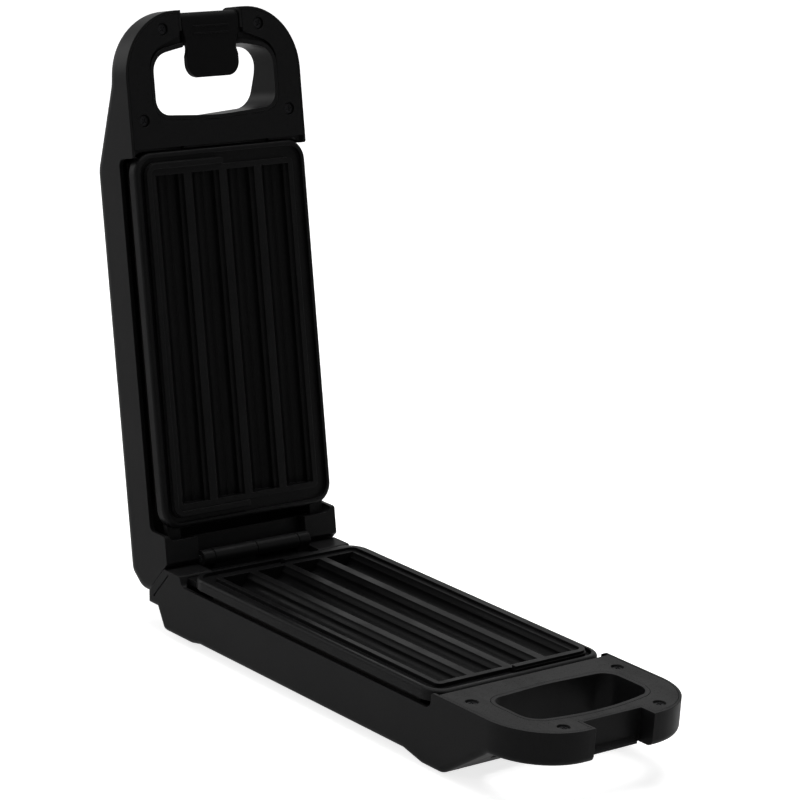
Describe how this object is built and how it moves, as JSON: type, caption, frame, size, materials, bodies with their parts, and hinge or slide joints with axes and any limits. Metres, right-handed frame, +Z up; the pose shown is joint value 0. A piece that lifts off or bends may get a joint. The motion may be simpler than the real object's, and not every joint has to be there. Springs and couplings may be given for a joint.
{
  "type": "churro maker",
  "caption": "Small hinged countertop churro maker with fluted non-stick plates, loop handles and a swing latch, lid open.",
  "frame": {"origin": "middle of the box round the open appliance, on the table under the feet", "axes": "+Z up; -Y towards the handle of the base; +X to the right of someone who faces the handle"},
  "size_m": [0.122, 0.3924, 0.34],
  "materials": {
    "housing_plastic": "satin black moulded plastic",
    "cover_plastic": "fine-textured charcoal plastic",
    "nonstick": "cast aluminium with a black non-stick coat",
    "latch_plastic": "satin black moulded plastic",
    "steel": "plain steel",
    "sheet": "bare sheet",
    "rubber": "matte",
    "ceramic": "glazed",
    "sleeve": "woven sleeve",
    "inner_plastic": "moulded",
    "red_lens": "clear tinted",
    "green_lens": "clear tinted",
    "lamp_glass": "clear"
  },
  "bodies": {
    "base": {"base_housing": "housing_plastic", "base_handle_cover": "cover_plastic", "lower_cooking_plate": "nonstick", "lower_heating_element": "steel", "lower_heat_shield": "sheet", "thermostat": "ceramic", "thermal_fuse": "sleeve", "terminal_block": "ceramic", "cord_bushing": "rubber", "front_feet": "rubber", "rear_feet": "rubber", "hinge_pin_left": "steel", "hinge_pin_right": "steel"},
    "lid": {"lid_housing": "housing_plastic", "lid_handle_cover": "cover_plastic", "upper_cooking_plate": "nonstick", "upper_heating_element": "steel", "upper_heat_shield": "sheet", "latch_pin": "steel", "power_lamp_lens": "red_lens", "ready_lamp_lens": "green_lens", "lamp_holder": "inner_plastic", "pilot_lamps": "lamp_glass"},
    "latch": {"latch": "latch_plastic"}
  },
  "joints": [
    {"name": "lid_hinge", "type": "hinge", "parent": "base", "child": "lid", "pos_m": [0, 0.10953, 0.042], "axis": [-1, 0, 0], "range_deg": [-103, 0]},
    {"name": "latch_swing", "type": "hinge", "parent": "lid", "child": "latch", "pos_m": [0, 0.18169, 0.33364], "axis": [-1, 0, 0], "range_deg": [0, 120]}
  ]
}
